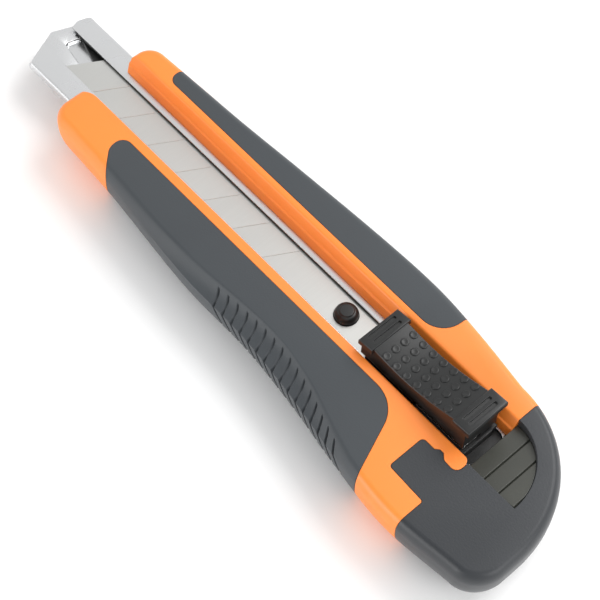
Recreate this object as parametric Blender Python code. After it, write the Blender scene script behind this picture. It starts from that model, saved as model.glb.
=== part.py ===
"""Utility knife with an 18 mm snap-off blade, as separate named pieces.

Frame: metres, +Z up. The origin is on the ground under the middle of the knife.
+X runs to the blade's tip, +Y to the knife's left, where the cutting edge is.
The knife lies on its back with the thumb slider up and the blade drawn right in.
All sizes below are in millimetres and every mesh is scaled by MM when it is made.
"""

import math

import bmesh
import bpy
from mathutils import Vector

MM = 0.001

# ---------------------------------------------------------------- driving sizes
GAP = 0.3                # clearance between neighbouring pieces

# Snap-off blade
BLADE_WIDTH = 18.0
BLADE_THICK = 0.5
BLADE_LENGTH = 106.5
BLADE_SETBACK = 3.5      # drawn-in tip behind the nose corners
SEGMENTS = 8
SEGMENT_PITCH = 10.0
SCORE_ANGLE = 60.0       # degrees between a score line and the cutting edge
BEVEL_WIDTH = 2.5        # ground strip along the cutting edge
EDGE_THICK = 0.1
BLADE_HOLE = 3.1         # radius
HOLE_FROM_END = 10.5
TAIL_CHAMFER = 2.5

# Steel rail, a folded channel with two lips over the blade
SHEET = 0.5
RAIL_DEPTH = 3.3         # lip top to underside
LIP_OPEN_LEFT = 5.0      # lip edges from the middle line
LIP_OPEN_RIGHT = 4.2
NOSE_X = 87.5            # apex of the pointed nose
NOSE_RISE = 4.0          # apex ahead of the nose corners
RAIL_REAR_X = -60.3
NOSE_PAD_LENGTH = 6.5
NOSE_PAD_SETBACK = 5.2   # pressed step behind the nose corners

# Handle body
FRONT_X = 66.0
JOINT_X = -61.2          # where the end cap meets the handle
REAR_X = -83.2
UNDER_RAIL = 6.2         # plastic under the rail
COVER = 5.5              # top face above the lips
PARTING_BELOW_TOP = 4.5
SHOULDER_IN = 2.2
SHOULDER_DOWN = 3.2
BELLY_IN = 9.0           # how far the underside draws in
FRONT_CORNER = 4.8
LEFT_WIDTHS = [(66.0, 16.9), (45.0, 18.1), (14.0, 21.2), (-7.0, 21.5), (-25.0, 23.4),
               (-40.0, 25.8), (-58.0, 27.7), (-76.0, 26.1)]
RIGHT_WIDTHS = [(66.0, 13.6), (49.0, 14.5), (35.0, 15.2), (16.0, 16.6), (-10.0, 18.2),
                (-27.0, 18.5), (-41.0, 17.2), (-56.0, 15.0)]
REAR_FLAT = (13.5, 18.0)      # the rear end's short straight stretch, in Y
REAR_LEFT_BEND_X = -76.0
REAR_RIGHT_BEND_X = -56.0

# Soft grips, moulded into recesses of the handle
GRIP_THICK = 2.0
LEFT_GRIP_INNER = 8.8
RIGHT_GRIP_INNER = 9.4

# Thumb slider, carrier and lock
SLIDER_WIDTH = 10.6
SLIDER_PLAY = 1.0        # each side, to the slot's walls
SLIDER_FRONT_X = -26.2
SLIDER_LENGTH = 31.6
SLIDER_FRONT_RISE = 3.4  # slider top above the handle's top face
SLIDER_REAR_RISE = 7.8
SLIDER_BAR = 5.6         # length of each raised bar
SADDLE_DIP = 1.5
PRESS = 1.0              # how far the thumb piece goes down
TRAVEL = 80.0            # how far the carrier runs forward
DOT_RADIUS = 0.9
DOT_HEIGHT = 0.35
DOT_ROWS = 7
DOT_COLUMNS = 4
DOT_PITCH_X = 3.1
DOT_PITCH_Y = 2.6
DECK_THICK = 1.5
CARRIER_FRONT = 5.0      # carrier tongue ahead of the pin
PIN_HEIGHT = 2.6         # pin above the blade
PIN_TOP = 2.0            # radius
RACK_PITCH = 5.0
RACK_TOOTH = 1.0
RACK_HEIGHT = 2.0
RACK_BACK = 0.9          # strip behind the teeth
PAWL_LENGTH = 4.0
PAWL_TRAVEL = 0.8
PAWL_INNER_Y = 3.4
STEM_DEPTH = 0.7         # the thumb piece's stem below the carrier's deck
LEAF_THICK = 0.4
LEAF_WIDTH = 4.4
LEAF_LENGTH = 14.0
LEAF_MIDDLE = 2.4        # the leaf lies left of the middle

# End cap
TONGUE_LENGTH = 10.4
TONGUE_OUTER = 19.8
RAMP_LENGTH = 13.4
RAMP_WIDTH = 15.0
RAMP_LEFT = 7.1
RAMP_DROP = 2.4          # front of the ramp below the top face
RAMP_STEPS = 3
RAMP_THICK = 4.5
STEP_NOTCH = 0.7
PLUG_LENGTH = 12.0       # how far the core reaches into the handle
PLUG_WIDTH = 17.0
PLUG_MIDDLE = 8.5        # the plug lies left of the middle, like the cap
PLUG_HEIGHT = 3.4
PLUG_Z = 2.1
CORE_LENGTH = 12.0       # part of the core inside the cap

# ---------------------------------------------------------------- worked out
LIP_TOP = UNDER_RAIL + RAIL_DEPTH
TOP = LIP_TOP + COVER
PARTING = TOP - PARTING_BELOW_TOP
RAIL_HALF = BLADE_WIDTH / 2 + GAP + SHEET
TONGUE_INNER = RAIL_HALF + GAP
FLOOR_TOP = UNDER_RAIL + SHEET
BLADE_TOP = LIP_TOP - SHEET - GAP
BLADE_BOTTOM = BLADE_TOP - BLADE_THICK
NOSE_CORNER_X = NOSE_X - NOSE_RISE
BLADE_TIP_X = NOSE_CORNER_X - BLADE_SETBACK
SCORE_LEAN = BLADE_WIDTH / math.tan(math.radians(SCORE_ANGLE))
BLADE_REAR_X = BLADE_TIP_X - BLADE_LENGTH
PIN_X = BLADE_REAR_X + HOLE_FROM_END
SLOT_HALF = SLIDER_WIDTH / 2 + SLIDER_PLAY
SLIDER_REAR_X = SLIDER_FRONT_X - SLIDER_LENGTH
DECK_BOTTOM = LIP_TOP + GAP
DECK_TOP = DECK_BOTTOM + DECK_THICK
DECK_HALF = SLIDER_WIDTH / 2
THUMB_BOTTOM = DECK_TOP + GAP + PRESS
CARRIER_REAR_X = SLIDER_REAR_X - GAP
RACK_Z = DECK_BOTTOM + 0.2
RACK_TIP_Y = SLOT_HALF + 0.1
STEM_X = (SLIDER_FRONT_X - 3.0, SLIDER_FRONT_X - 9.0)
PAWL_X = SLIDER_FRONT_X - 12.0
LEAF_FRONT_X = PAWL_X - PAWL_LENGTH - 1.0
FAR = 100.0              # cutters reach past everything


# ---------------------------------------------------------------- mesh helpers
def material(name, colour, roughness, metallic=0.0):
    """A Principled material from a linear RGB colour."""
    made = bpy.data.materials.get(name) or bpy.data.materials.new(name)
    made.use_nodes = True
    shader = made.node_tree.nodes["Principled BSDF"]
    shader.inputs["Base Color"].default_value = (*colour, 1.0)
    shader.inputs["Roughness"].default_value = roughness
    shader.inputs["Metallic"].default_value = metallic
    made.diffuse_color = (*colour, 1.0)
    return made


def finish(bm, name):
    """Turn a bmesh in millimetres into an object in metres with faces outward."""
    bmesh.ops.recalc_face_normals(bm, faces=bm.faces)
    bmesh.ops.scale(bm, vec=(MM, MM, MM), verts=bm.verts)
    mesh = bpy.data.meshes.new(name)
    bm.to_mesh(mesh)
    bm.free()
    obj = bpy.data.objects.new(name, mesh)
    bpy.context.scene.collection.objects.link(obj)
    return obj


def layers(rings, name):
    """Close a stack of rings that have the same number of points."""
    bm = bmesh.new()
    rows = [[bm.verts.new(point) for point in ring] for ring in rings]
    count = len(rows[0])
    for low, high in zip(rows, rows[1:]):
        for i in range(count):
            j = (i + 1) % count
            bm.faces.new((low[i], low[j], high[j], high[i]))
    bm.faces.new(rows[0][::-1])
    bm.faces.new(rows[-1])
    return finish(bm, name)


def prism(outline, z0, z1, name="prism"):
    return layers([[(x, y, z) for x, y in outline] for z in (z0, z1)], name)


def along_x(section, x0, x1, name="bar"):
    """A section of (y, z) points carried from x0 to x1."""
    return layers([[(x, y, z) for y, z in section] for x in (x0, x1)], name)


def along_y(section, y0, y1, name="bar"):
    """A section of (x, z) points carried from y0 to y1."""
    return layers([[(x, y, z) for x, z in section] for y in (y0, y1)], name)


def box(x0, x1, y0, y1, z0, z1, name="box"):
    return prism([(x0, y0), (x1, y0), (x1, y1), (x0, y1)], z0, z1, name)


def disc(x, y, z0, z1, r0, r1=None, sides=32, name="disc"):
    """A round piece on the Z axis, r0 at z0 and r1 at z1."""
    r1 = r0 if r1 is None else r1
    turn = [2 * math.pi * i / sides for i in range(sides)]
    return layers([[(x + r * math.cos(a), y + r * math.sin(a), z) for a in turn]
                   for r, z in ((r0, z0), (r1, z1))], name)


def hull(points, name):
    bm = bmesh.new()
    for point in points:
        bm.verts.new(point)
    bmesh.ops.convex_hull(bm, input=bm.verts)
    return finish(bm, name)


def boolean(obj, tool, operation):
    """Apply an exact boolean and drop the tool."""
    modifier = obj.modifiers.new("bool", "BOOLEAN")
    modifier.operation = operation
    modifier.solver = "EXACT"
    modifier.object = tool
    bpy.context.view_layer.update()
    graph = bpy.context.evaluated_depsgraph_get()
    mesh = bpy.data.meshes.new_from_object(obj.evaluated_get(graph))
    old = obj.data
    obj.modifiers.clear()
    obj.data = mesh
    mesh.name = obj.name
    bpy.data.meshes.remove(old)
    tool_mesh = tool.data
    bpy.data.objects.remove(tool)
    bpy.data.meshes.remove(tool_mesh)
    return obj


def cut(obj, *tools):
    for tool in tools:
        boolean(obj, tool, "DIFFERENCE")
    return obj


def join(obj, *tools):
    for tool in tools:
        boolean(obj, tool, "UNION")
    return obj


def keep(obj, tool):
    return boolean(obj, tool, "INTERSECT")


def place(obj, name, look, origin=(0.0, 0.0, 0.0)):
    """Name a finished piece, give it its material and put its origin where it turns or slides."""
    obj.name = name
    obj.data.name = name
    bm = bmesh.new()
    bm.from_mesh(obj.data)
    bmesh.ops.remove_doubles(bm, verts=bm.verts, dist=0.00001)
    bmesh.ops.dissolve_degenerate(bm, dist=0.00001, edges=bm.edges)
    bmesh.ops.recalc_face_normals(bm, faces=bm.faces)
    shift = Vector(origin) * MM
    bmesh.ops.translate(bm, vec=-shift, verts=bm.verts)
    bm.to_mesh(obj.data)
    bm.free()
    obj.location = shift
    obj.data.materials.clear()
    obj.data.materials.append(look)
    obj.data.shade_smooth()
    obj.data.set_sharp_from_angle(angle=math.radians(30))
    return obj


# ---------------------------------------------------------------- plan outlines
def smooth(table, x):
    """Width at x from a short table, eased between its entries."""
    rows = sorted(table)
    if x <= rows[0][0]:
        return rows[0][1]
    for i in range(len(rows) - 1):
        x0, w0 = rows[i]
        x1, w1 = rows[i + 1]
        if x > x1:
            continue
        xa, wa = rows[max(i - 1, 0)]
        xb, wb = rows[min(i + 2, len(rows) - 1)]
        slope0 = (w1 - wa) / (x1 - xa)
        slope1 = (wb - w0) / (xb - x0)
        t = (x - x0) / (x1 - x0)
        span = x1 - x0
        return ((2 * t**3 - 3 * t**2 + 1) * w0 + (t**3 - 2 * t**2 + t) * span * slope0
                + (3 * t**2 - 2 * t**3) * w1 + (t**3 - t**2) * span * slope1)
    return rows[-1][1]


def rounded(corners, steps=5):
    """A closed outline from (x, y, radius) corners."""
    points = []
    for i, (x, y, radius) in enumerate(corners):
        if radius == 0:
            points.append((x, y))
            continue
        here = Vector((x, y))
        back = (Vector(corners[i - 1][:2]) - here).normalized()
        ahead = (Vector(corners[(i + 1) % len(corners)][:2]) - here).normalized()
        half = back.angle(ahead) / 2
        reach = radius / math.tan(half)
        centre = here + (back + ahead).normalized() * radius / math.sin(half)
        start = here + back * reach - centre
        sweep = start.angle_signed(here + ahead * reach - centre)
        for k in range(steps + 1):
            turn = -sweep * k / steps
            c, s = math.cos(turn), math.sin(turn)
            points.append((centre.x + c * start.x - s * start.y,
                           centre.y + s * start.x + c * start.y))
    return points


def grow(outline, distance):
    """Move an anticlockwise outline outward; a negative distance moves it inward."""
    grown = []
    count = len(outline)
    for i, (x, y) in enumerate(outline):
        before = Vector(outline[i - 1])
        after = Vector(outline[(i + 1) % count])
        here = Vector((x, y))
        a = (here - before).normalized()
        b = (after - here).normalized()
        normal = Vector((a.y + b.y, -a.x - b.x))
        scale = distance / max(0.35, (1 + a.dot(b)) / 2)
        grown.append((x + normal.x / 2 * scale, y + normal.y / 2 * scale))
    return grown


def body_outline():
    """The widest outline of handle and cap together, anticlockwise from above."""
    r = FRONT_CORNER
    points = []
    right_front = -smooth(RIGHT_WIDTHS, FRONT_X - r)
    left_front = smooth(LEFT_WIDTHS, FRONT_X - r)
    for k in range(7):
        a = math.radians(-90 + 15 * k)
        points.append((FRONT_X - r + r * math.cos(a), right_front + r + r * math.sin(a)))
    for k in range(7):
        a = math.radians(15 * k)
        points.append((FRONT_X - r + r * math.cos(a), left_front - r + r * math.sin(a)))
    count = 30
    start = FRONT_X - r
    for k in range(1, count):
        x = start + (REAR_LEFT_BEND_X - start) * k / count
        points.append((x, smooth(LEFT_WIDTHS, x)))
    left_bend = smooth(LEFT_WIDTHS, REAR_LEFT_BEND_X)
    for k in range(8):
        a = math.radians(90 * k / 7)
        points.append((REAR_LEFT_BEND_X + (REAR_X - REAR_LEFT_BEND_X) * math.sin(a),
                       REAR_FLAT[1] + (left_bend - REAR_FLAT[1]) * math.cos(a)))
    right_bend = smooth(RIGHT_WIDTHS, REAR_RIGHT_BEND_X)
    for k in range(15):
        a = math.radians(90 - 90 * k / 14)
        points.append((REAR_RIGHT_BEND_X + (REAR_X - REAR_RIGHT_BEND_X) * math.sin(a),
                       REAR_FLAT[0] - (right_bend + REAR_FLAT[0]) * math.cos(a)))
    for k in range(1, count):
        x = REAR_RIGHT_BEND_X + (start - REAR_RIGHT_BEND_X) * k / count
        points.append((x, -smooth(RIGHT_WIDTHS, x)))
    return points


def body(skin=0.0):
    """Handle and cap as one solid, all round smaller by skin."""
    outline = grow(body_outline(), -skin)
    middle_x = (FRONT_X + REAR_X) / 2
    half_x = (FRONT_X - REAR_X) / 2
    widest = max(w for _, w in LEFT_WIDTHS)
    rings = []
    bottom = skin
    parting = PARTING - skin
    for k in range(7):
        a = math.radians(90 - 15 * k)
        pull = BELLY_IN * (1 - math.cos(a))
        z = parting - (parting - bottom) * math.sin(a)
        ring = []
        for x, y in outline:
            side = smooth(LEFT_WIDTHS, x) - smooth(RIGHT_WIDTHS, x)
            ring.append((middle_x + (x - middle_x) * (1 - pull / half_x),
                         side / 2 + (y - side / 2) * (1 - pull / widest), z))
        rings.append(ring)
    for k in range(5):
        a = math.radians(22.5 * k)
        inner = grow(outline, -SHOULDER_IN * (1 - math.cos(a))) if k else outline
        z = TOP - skin - SHOULDER_DOWN * (1 - math.sin(a))
        rings.append([(x, y, z) for x, y in inner])
    return layers(rings, "body")


def grip_outline(side):
    if side == "left":
        corners = [(FRONT_X - 17.0, LEFT_GRIP_INNER, 2.4), (FRONT_X - 17.4, 13.2, 3.5),
                   (FRONT_X - 37.0, 34.0, 0),
                   (-51.0, 34.0, 0), (-41.0, LEFT_GRIP_INNER, 8.5)]
    else:
        corners = [(FRONT_X - 11.4, -RIGHT_GRIP_INNER, 2.2), (-36.2, -RIGHT_GRIP_INNER, 6.0),
                   (-36.6, -34.0, 0), (FRONT_X - 12.1, -34.0, 0)]
    return rounded(corners)


def cap_outline():
    """Plan of the end cap with its tongue; the slot's rear end meets it at JOINT_X."""
    front = JOINT_X + TONGUE_LENGTH
    corners = [(-FAR, -FAR, 0), (JOINT_X, -FAR, 0), (JOINT_X, TONGUE_INNER, 0.6),
               (front, TONGUE_INNER, 0.8), (front, TONGUE_OUTER, 0.8),
               (JOINT_X, TONGUE_OUTER + 0.4, 0.6), (JOINT_X, FAR, 0), (-FAR, FAR, 0)]
    return rounded(corners, steps=3)


def ramp_outline():
    """A quarter ellipse behind the slot, anticlockwise."""
    points = [(JOINT_X, RAMP_LEFT)]
    for k in range(13):
        a = math.radians(90 - 90 * k / 12)
        points.append((JOINT_X - RAMP_LENGTH * math.sin(a), RAMP_LEFT - RAMP_WIDTH * math.cos(a)))
    return points


# ---------------------------------------------------------------- the pieces
def handle_shell(look):
    """Orange ABS moulding with the slot, the rail's pocket and the grips' recesses."""
    shell = body()
    core = body(GRIP_THICK + GAP)
    for side in ("left", "right"):
        recess = prism(grow(grip_outline(side), GAP), -5.0, TOP + 5.0)
        inner = core.copy()
        inner.data = core.data.copy()
        bpy.context.scene.collection.objects.link(inner)
        cut(recess, inner)
        cut(shell, recess)
    core_mesh = core.data
    bpy.data.objects.remove(core)
    bpy.data.meshes.remove(core_mesh)
    cut(shell, prism(grow(cap_outline(), GAP), -5.0, TOP + 5.0))
    pocket = RAIL_HALF + GAP
    cut(shell, box(JOINT_X - 5, FAR, -pocket, pocket, UNDER_RAIL - GAP, LIP_TOP + GAP))
    chamfer = 1.2
    slot = [(-SLOT_HALF, LIP_TOP), (SLOT_HALF, LIP_TOP), (SLOT_HALF, TOP + 1),
            (-SLOT_HALF - chamfer - 1, TOP + 1), (-SLOT_HALF, TOP - chamfer)]
    cut(shell, along_x(slot, JOINT_X - 5, FAR))
    groove_y = RACK_TIP_Y + RACK_TOOTH + RACK_BACK + GAP
    cut(shell, box(JOINT_X - 5, FRONT_X - 12.0, 0.0, groove_y,
                   RACK_Z - GAP, RACK_Z + RACK_HEIGHT + GAP))
    half = PLUG_WIDTH / 2 + GAP
    cut(shell, box(JOINT_X - 5, JOINT_X + PLUG_LENGTH + GAP, PLUG_MIDDLE - half,
                   PLUG_MIDDLE + half, PLUG_Z - GAP, PLUG_Z + PLUG_HEIGHT + GAP))
    return place(shell, "handle_shell", look)


def grip(side, look):
    """Soft TPR skin of one side, wrapped round the shoulder."""
    skin = keep(body(), prism(grip_outline(side), -5.0, TOP + 5.0))
    cut(skin, body(GRIP_THICK))
    return place(skin, "grip_" + side, look)


def rail(look):
    """Steel channel with folded lips and a pointed nose."""
    half = RAIL_HALF
    section = [(-half, UNDER_RAIL), (half, UNDER_RAIL), (half, LIP_TOP),
               (LIP_OPEN_LEFT, LIP_TOP), (LIP_OPEN_LEFT, LIP_TOP - SHEET),
               (half - SHEET, LIP_TOP - SHEET), (half - SHEET, FLOOR_TOP),
               (-half + SHEET, FLOOR_TOP), (-half + SHEET, LIP_TOP - SHEET),
               (-LIP_OPEN_RIGHT, LIP_TOP - SHEET), (-LIP_OPEN_RIGHT, LIP_TOP), (-half, LIP_TOP)]
    channel = along_x(section, RAIL_REAR_X, NOSE_X + 5)
    plan = rounded([(RAIL_REAR_X - 5, -half - 1, 0), (NOSE_CORNER_X, -half - 1, 0),
                    (NOSE_CORNER_X, -half, 1.2), (NOSE_X, 0, 1.0), (NOSE_CORNER_X, half, 1.2),
                    (NOSE_CORNER_X, half + 1, 0), (RAIL_REAR_X - 5, half + 1, 0)])
    keep(channel, prism(plan, 0.0, TOP))
    pad_front = NOSE_CORNER_X - NOSE_PAD_SETBACK
    join(channel, box(pad_front - NOSE_PAD_LENGTH, pad_front, -0.2, half - SHEET - 0.8,
                      FLOOR_TOP - SHEET / 2, BLADE_BOTTOM - GAP))
    return place(channel, "rail", look)


def lock_rack(look):
    """Toothed strip on the left of the slot that the pawl locks into."""
    back = RACK_TIP_Y + RACK_TOOTH + RACK_BACK
    root = RACK_TIP_Y + RACK_TOOTH
    rear = JOINT_X + 4.0
    front = FRONT_X - 14.0
    count = int((front - rear) / RACK_PITCH)
    outline = [(rear, back), (rear, root)]
    for i in range(count):
        x = rear + RACK_PITCH * i
        outline += [(x + 0.4 * RACK_PITCH, root), (x + 0.55 * RACK_PITCH, RACK_TIP_Y),
                    (x + 0.85 * RACK_PITCH, RACK_TIP_Y), (x + RACK_PITCH, root)]
    outline += [(front, root), (front, back)]
    strip = prism(outline, RACK_Z, RACK_Z + RACK_HEIGHT)
    return place(strip, "lock_rack", look)


def blade_segment(number, look):
    """One snap-off length of blade, ground to an edge along its left side."""
    half = BLADE_WIDTH / 2
    middle = (BLADE_TOP + BLADE_BOTTOM) / 2
    front = BLADE_TIP_X - SEGMENT_PITCH * (number - 1) - (GAP / 2 if number > 1 else 0.0)
    rear = BLADE_TIP_X - SEGMENT_PITCH * number + GAP / 2
    points = []
    for y, thick in ((half, EDGE_THICK), (half - BEVEL_WIDTH, BLADE_THICK), (-half, BLADE_THICK)):
        lean = SCORE_LEAN * (half - y) / BLADE_WIDTH
        back = rear - lean
        if number == SEGMENTS:
            back = BLADE_REAR_X + (0.0 if abs(y) < half else TAIL_CHAMFER)
        for x in (front - lean, back):
            points += [(x, y, middle - thick / 2), (x, y, middle + thick / 2)]
    if number == SEGMENTS:
        for z in (BLADE_BOTTOM, BLADE_TOP):
            points.append((BLADE_REAR_X, -half + TAIL_CHAMFER, z))
    piece = hull(points, "segment")
    if number == SEGMENTS:
        cut(piece, disc(PIN_X, 0.0, BLADE_BOTTOM - 1, BLADE_TOP + 1, BLADE_HOLE))
    return place(piece, "blade_segment_%d" % number, look)


def carrier(look):
    """Black slide that runs in the rail, holds the blade on its pin and carries the thumb piece."""
    side = BLADE_WIDTH / 2 - 0.3
    low = FLOOR_TOP + GAP
    plate = box(CARRIER_REAR_X, BLADE_REAR_X - GAP, -side, side, low, LIP_TOP - SHEET - GAP)
    tongue_top = BLADE_BOTTOM - GAP
    join(plate, box(BLADE_REAR_X - 2, PIN_X + CARRIER_FRONT, -side + 3, side - 3, low, tongue_top))
    pin = BLADE_HOLE - GAP
    join(plate, disc(PIN_X, 0.0, tongue_top - 0.3, BLADE_TOP + PIN_HEIGHT / 2, pin))
    join(plate, disc(PIN_X, 0.0, BLADE_TOP + PIN_HEIGHT / 2 - 0.1, BLADE_TOP + PIN_HEIGHT,
                     pin, PIN_TOP))
    neck_front = BLADE_REAR_X - 2 * GAP - 0.3
    join(plate, box(CARRIER_REAR_X, neck_front, -LIP_OPEN_RIGHT + GAP, LIP_OPEN_LEFT - GAP,
                    LIP_TOP - SHEET - GAP - 0.5, DECK_TOP - 0.2))
    join(plate, box(CARRIER_REAR_X + 0.2, neck_front - 0.2, -DECK_HALF, DECK_HALF,
                    DECK_BOTTOM, DECK_TOP))
    stem = 2.0 + GAP
    cut(plate, box(STEM_X[1] - GAP, STEM_X[0] + GAP, -stem, stem,
                   DECK_TOP - STEM_DEPTH - PRESS - GAP, TOP))
    cut(plate, box(PAWL_X - PAWL_LENGTH - GAP, PAWL_X + GAP, PAWL_INNER_Y - PAWL_TRAVEL - GAP,
                   SLOT_HALF, RACK_Z + 0.1, TOP))
    return place(plate, "carrier", look)


def thumb_top(x):
    """Height of the thumb piece along its length: a bar at each end and a saddle between."""
    t = (SLIDER_FRONT_X - x) / SLIDER_LENGTH
    rise = SLIDER_FRONT_RISE + (SLIDER_REAR_RISE - SLIDER_FRONT_RISE) * t
    bar = SLIDER_BAR / SLIDER_LENGTH
    if t <= bar or t >= 1 - bar:
        return TOP + rise
    s = (t - bar) / (1 - 2 * bar)
    return TOP + rise - 0.5 - SADDLE_DIP * math.sin(math.pi * s)


def thumb_piece(look):
    """Ribbed black thumb piece with a field of round dots."""
    front, rear = SLIDER_FRONT_X, SLIDER_REAR_X
    section = [(rear, THUMB_BOTTOM), (front, THUMB_BOTTOM), (front, thumb_top(front)),
               (front - SLIDER_BAR, thumb_top(front - SLIDER_BAR + 0.01))]
    span = SLIDER_LENGTH - 2 * SLIDER_BAR
    for k in range(11):
        section.append((front - SLIDER_BAR - 0.05 - (span - 0.1) * k / 10,
                        thumb_top(front - SLIDER_BAR - 0.05 - (span - 0.1) * k / 10)))
    section += [(rear + SLIDER_BAR, thumb_top(rear + SLIDER_BAR - 0.01)), (rear, thumb_top(rear))]
    half = SLIDER_WIDTH / 2
    piece = along_y(section, -half, half)
    for end in (front - SLIDER_BAR / 2, rear + SLIDER_BAR / 2):
        for side in (-1, 1):
            x = end + side * 0.9
            z = thumb_top(x)
            cut(piece, box(x - 0.3, x + 0.3, -half + 1.6, half - 1.6, z - 0.6, z + 2))
    middle = (front + rear) / 2
    for row in range(DOT_ROWS):
        x = middle + (row - (DOT_ROWS - 1) / 2) * DOT_PITCH_X
        for column in range(DOT_COLUMNS):
            y = (column - (DOT_COLUMNS - 1) / 2) * DOT_PITCH_Y
            z = thumb_top(x)
            join(piece, disc(x, y, z - 0.8, z + DOT_HEIGHT, DOT_RADIUS, DOT_RADIUS * 0.75, 12))
    cut(piece, box(LEAF_FRONT_X - LEAF_LENGTH - 2, LEAF_FRONT_X + 0.6,
                   LEAF_MIDDLE - LEAF_WIDTH / 2 - 0.6, SLOT_HALF,
                   THUMB_BOTTOM - 1, THUMB_BOTTOM + LEAF_THICK + 0.6))
    join(piece, box(STEM_X[1], STEM_X[0], -2.0, 2.0, DECK_TOP - STEM_DEPTH, THUMB_BOTTOM + 0.5))
    return place(piece, "thumb_piece", look, (middle, 0.0, THUMB_BOTTOM))


def lock_pawl(look):
    """Pawl that slides out of the carrier's left side toward the rack."""
    middle = PAWL_X - PAWL_LENGTH / 2
    tip = RACK_TIP_Y - GAP
    outline = [(PAWL_X - PAWL_LENGTH, PAWL_INNER_Y), (PAWL_X, PAWL_INNER_Y),
               (PAWL_X, tip - 0.8), (middle + 0.6, tip), (middle - 0.6, tip),
               (PAWL_X - PAWL_LENGTH, tip - 0.8)]
    piece = prism(outline, RACK_Z + 0.1 + GAP, DECK_TOP + 0.1)
    return place(piece, "lock_pawl", look, (middle, tip, RACK_Z + 1.0))


def leaf_spring(look):
    """Steel leaf between carrier and thumb piece, with an upturned tail."""
    z = DECK_TOP + GAP
    rear = LEAF_FRONT_X - LEAF_LENGTH
    section = [(LEAF_FRONT_X, z), (LEAF_FRONT_X, z + LEAF_THICK), (rear + 2.0, z + LEAF_THICK),
               (rear, z + LEAF_THICK + 0.3), (rear, z + 0.3), (rear + 2.0, z)]
    leaf = along_y(section, LEAF_MIDDLE - LEAF_WIDTH / 2, LEAF_MIDDLE + LEAF_WIDTH / 2)
    return place(leaf, "leaf_spring", look)


def cap_shell(look):
    """Dark grey end cap that carries the body's outline round the rear."""
    shell = keep(body(), prism(cap_outline(), -5.0, TOP + 5.0))
    cut(shell, prism(grow(ramp_outline(), GAP), TOP - RAMP_DROP - RAMP_THICK - GAP, TOP + 5))
    half = PLUG_WIDTH / 2 + GAP
    cut(shell, box(JOINT_X - CORE_LENGTH - GAP, JOINT_X + FAR, PLUG_MIDDLE - half,
                   PLUG_MIDDLE + half, PLUG_Z - GAP, PLUG_Z + PLUG_HEIGHT + GAP))
    return place(shell, "cap_shell", look)


def cap_core(look):
    """Hard plug inside the cap that pushes into the handle."""
    half = PLUG_WIDTH / 2
    core = box(JOINT_X - CORE_LENGTH, JOINT_X + PLUG_LENGTH, PLUG_MIDDLE - half,
               PLUG_MIDDLE + half, PLUG_Z, PLUG_Z + PLUG_HEIGHT)
    return place(core, "cap_core", look)


def cap_ramp(look):
    """Stepped thumb ramp let into the cap behind the slot."""
    low = TOP - RAMP_DROP - RAMP_THICK
    block = prism(ramp_outline(), low, TOP + 2)
    section = [(JOINT_X + 1, TOP + 5), (JOINT_X + 1, TOP - RAMP_DROP)]
    for k in range(RAMP_STEPS):
        x0 = JOINT_X - RAMP_LENGTH * k / RAMP_STEPS
        x1 = JOINT_X - RAMP_LENGTH * (k + 1) / RAMP_STEPS
        z0 = TOP - RAMP_DROP * (1 - k / RAMP_STEPS)
        z1 = TOP - RAMP_DROP * (1 - (k + 1) / RAMP_STEPS)
        section += [(x0 - 0.05, z0), (x1 + 0.4, z1 - 0.1), (x1 + 0.05, z1 - STEP_NOTCH)]
    section += [(JOINT_X - RAMP_LENGTH - 1, TOP), (JOINT_X - RAMP_LENGTH - 1, TOP + 5)]
    cut(block, along_y(section, -FAR, FAR))
    return place(block, "cap_ramp", look)


def build():
    for old in list(bpy.data.objects):
        bpy.data.objects.remove(old)
    orange = material("orange_abs", (0.86, 0.21, 0.035), 0.38)
    soft = material("grey_tpr", (0.075, 0.082, 0.09), 0.62)
    black = material("black_abs", (0.028, 0.029, 0.029), 0.42)
    olive = material("black_ramp", (0.045, 0.046, 0.04), 0.4)
    rail_steel = material("rail_steel", (0.62, 0.63, 0.64), 0.26, 1.0)
    blade_steel = material("blade_steel", (0.55, 0.56, 0.57), 0.36, 1.0)
    spring_steel = material("spring_steel", (0.68, 0.68, 0.68), 0.18, 1.0)

    handle_shell(orange)
    grip("left", soft)
    grip("right", soft)
    rail(rail_steel)
    lock_rack(spring_steel)
    for number in range(1, SEGMENTS + 1):
        blade_segment(number, blade_steel)
    carrier(black)
    thumb_piece(black)
    lock_pawl(black)
    leaf_spring(spring_steel)
    cap_shell(soft)
    cap_core(black)
    cap_ramp(olive)


build()
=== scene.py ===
"""Utility knife with an 18 mm snap-off blade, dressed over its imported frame.

The sections follow the knife as it is put together: the moulded handle and its
soft grips, the steel rail, the blade and its carrier, the thumb piece with its
lock, and the end cap. Sizes are in millimetres in the frame's own axes: +X to
the blade's tip, +Y to the knife's left, +Z up.
"""

import math

import bmesh
import bpy
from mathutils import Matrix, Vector


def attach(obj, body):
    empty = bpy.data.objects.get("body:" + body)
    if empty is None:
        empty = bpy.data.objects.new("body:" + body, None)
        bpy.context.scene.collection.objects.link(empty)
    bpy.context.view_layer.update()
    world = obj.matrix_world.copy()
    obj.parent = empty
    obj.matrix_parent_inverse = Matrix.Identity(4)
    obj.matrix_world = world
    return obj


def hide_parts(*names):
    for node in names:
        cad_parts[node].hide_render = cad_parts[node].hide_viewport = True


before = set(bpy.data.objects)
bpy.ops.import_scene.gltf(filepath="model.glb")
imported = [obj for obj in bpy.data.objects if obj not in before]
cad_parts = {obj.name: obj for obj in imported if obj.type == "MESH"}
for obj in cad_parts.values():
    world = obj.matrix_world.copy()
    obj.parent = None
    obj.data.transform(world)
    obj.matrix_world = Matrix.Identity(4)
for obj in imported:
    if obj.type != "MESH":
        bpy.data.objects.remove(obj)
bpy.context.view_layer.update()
MM = 0.001

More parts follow.
